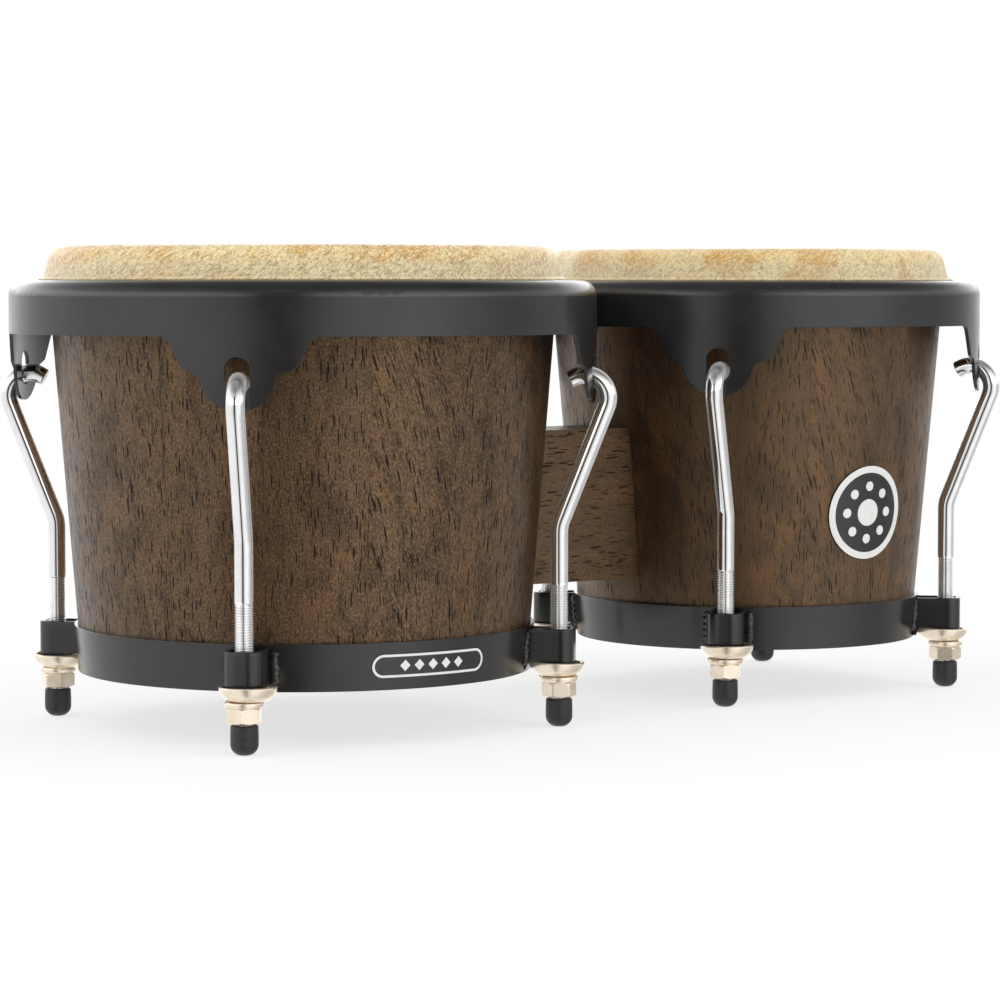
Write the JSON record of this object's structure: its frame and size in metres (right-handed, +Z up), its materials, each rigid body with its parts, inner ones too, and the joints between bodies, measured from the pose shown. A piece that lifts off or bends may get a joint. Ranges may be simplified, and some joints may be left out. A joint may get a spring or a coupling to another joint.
{
  "type": "bongo drums",
  "caption": "Bongo drums: small hand drums of unequal width with stave-built wooden shells joined by a block, and skins pulled down by steel hoops on hooked tuning rods.",
  "frame": {"origin": "on the ground under the rubber caps, at the middle of the pair's length and depth", "axes": "+X from the large drum towards the small drum, +Z up, the badge and label are on the -Y side"},
  "size_m": [0.4426, 0.2314, 0.1882],
  "materials": {
    "shell_wood": "satin lacquer over dark brown stained hardwood staves",
    "block_wood": "satin lacquer over dark brown hardwood, grain along the block",
    "skin": "natural hide, mottled cream, matt",
    "black_steel": "black satin powder coat",
    "chrome_rod": "bright chrome plate",
    "nickel": "warm nickel plate",
    "wire": "plain steel wire",
    "zinc": "zinc plate",
    "cap_rubber": "black soft cap, satin",
    "badge_black": "black enamel",
    "badge_white": "white enamel"
  },
  "bodies": {
    "frame": {"shell_large": "shell_wood", "shell_small": "shell_wood", "skin_large": "skin", "skin_small": "skin", "bottom_ring_large": "black_steel", "bottom_ring_small": "black_steel", "lugs_large": "black_steel", "lugs_small": "black_steel", "cup_washers_large": "nickel", "cup_washers_small": "nickel", "centre_block": "block_wood", "block_bolts": "zinc", "block_washers": "zinc", "block_nuts": "zinc", "badge_plate": "badge_black", "badge_print": "badge_white", "label_plate": "badge_black", "label_print": "badge_white"},
    "large_hoop_set": {"tuning_hoop_large": "black_steel", "flesh_hoop_large": "wire", "rod_large_1": "chrome_rod", "rod_large_2": "chrome_rod", "rod_large_3": "chrome_rod", "rod_large_4": "chrome_rod", "rod_caps_large": "cap_rubber"},
    "small_hoop_set": {"tuning_hoop_small": "black_steel", "flesh_hoop_small": "wire", "rod_small_1": "chrome_rod", "rod_small_2": "chrome_rod", "rod_small_3": "chrome_rod", "rod_small_4": "chrome_rod", "rod_caps_small": "cap_rubber"},
    "tuning_nut_large_1": {"nut_large_1": "nickel"},
    "tuning_nut_large_2": {"nut_large_2": "nickel"},
    "tuning_nut_large_3": {"nut_large_3": "nickel"},
    "tuning_nut_large_4": {"nut_large_4": "nickel"},
    "tuning_nut_small_1": {"nut_small_1": "nickel"},
    "tuning_nut_small_2": {"nut_small_2": "nickel"},
    "tuning_nut_small_3": {"nut_small_3": "nickel"},
    "tuning_nut_small_4": {"nut_small_4": "nickel"}
  },
  "joints": [
    {"name": "large_hoop_slide", "type": "slide", "parent": "frame", "child": "large_hoop_set", "axis": [0, 0, 1], "range_m": [-0.005, 0.0006]},
    {"name": "nut_large_1_turn", "type": "hinge", "parent": "frame", "child": "tuning_nut_large_1", "pos_m": [-0.03345, 0.0722, 0.016], "axis": [0, 0, 1], "range_deg": [-220, 1805]},
    {"name": "nut_large_2_turn", "type": "hinge", "parent": "frame", "child": "tuning_nut_large_2", "pos_m": [-0.17785, 0.0722, 0.016], "axis": [0, 0, 1], "range_deg": [-220, 1805]},
    {"name": "nut_large_3_turn", "type": "hinge", "parent": "frame", "child": "tuning_nut_large_3", "pos_m": [-0.17785, -0.0722, 0.016], "axis": [0, 0, 1], "range_deg": [-220, 1805]},
    {"name": "nut_large_4_turn", "type": "hinge", "parent": "frame", "child": "tuning_nut_large_4", "pos_m": [-0.03345, -0.0722, 0.016], "axis": [0, 0, 1], "range_deg": [-220, 1805]},
    {"name": "small_hoop_slide", "type": "slide", "parent": "frame", "child": "small_hoop_set", "axis": [0, 0, 1], "range_m": [-0.005, 0.0006]},
    {"name": "nut_small_1_turn", "type": "hinge", "parent": "frame", "child": "tuning_nut_small_1", "pos_m": [0.18236, 0.06131, 0.016], "axis": [0, 0, 1], "range_deg": [-220, 1805]},
    {"name": "nut_small_2_turn", "type": "hinge", "parent": "frame", "child": "tuning_nut_small_2", "pos_m": [0.05974, 0.06131, 0.016], "axis": [0, 0, 1], "range_deg": [-220, 1805]},
    {"name": "nut_small_3_turn", "type": "hinge", "parent": "frame", "child": "tuning_nut_small_3", "pos_m": [0.05974, -0.06131, 0.016], "axis": [0, 0, 1], "range_deg": [-220, 1805]},
    {"name": "nut_small_4_turn", "type": "hinge", "parent": "frame", "child": "tuning_nut_small_4", "pos_m": [0.18236, -0.06131, 0.016], "axis": [0, 0, 1], "range_deg": [-220, 1805]}
  ],
  "couplings": [
    {"joint": "nut_large_1_turn", "follows": "large_hoop_slide", "rad_per_m": -6283.2},
    {"joint": "nut_large_2_turn", "follows": "large_hoop_slide", "rad_per_m": -6283.2},
    {"joint": "nut_large_3_turn", "follows": "large_hoop_slide", "rad_per_m": -6283.2},
    {"joint": "nut_large_4_turn", "follows": "large_hoop_slide", "rad_per_m": -6283.2},
    {"joint": "nut_small_1_turn", "follows": "small_hoop_slide", "rad_per_m": -6283.2},
    {"joint": "nut_small_2_turn", "follows": "small_hoop_slide", "rad_per_m": -6283.2},
    {"joint": "nut_small_3_turn", "follows": "small_hoop_slide", "rad_per_m": -6283.2},
    {"joint": "nut_small_4_turn", "follows": "small_hoop_slide", "rad_per_m": -6283.2}
  ]
}
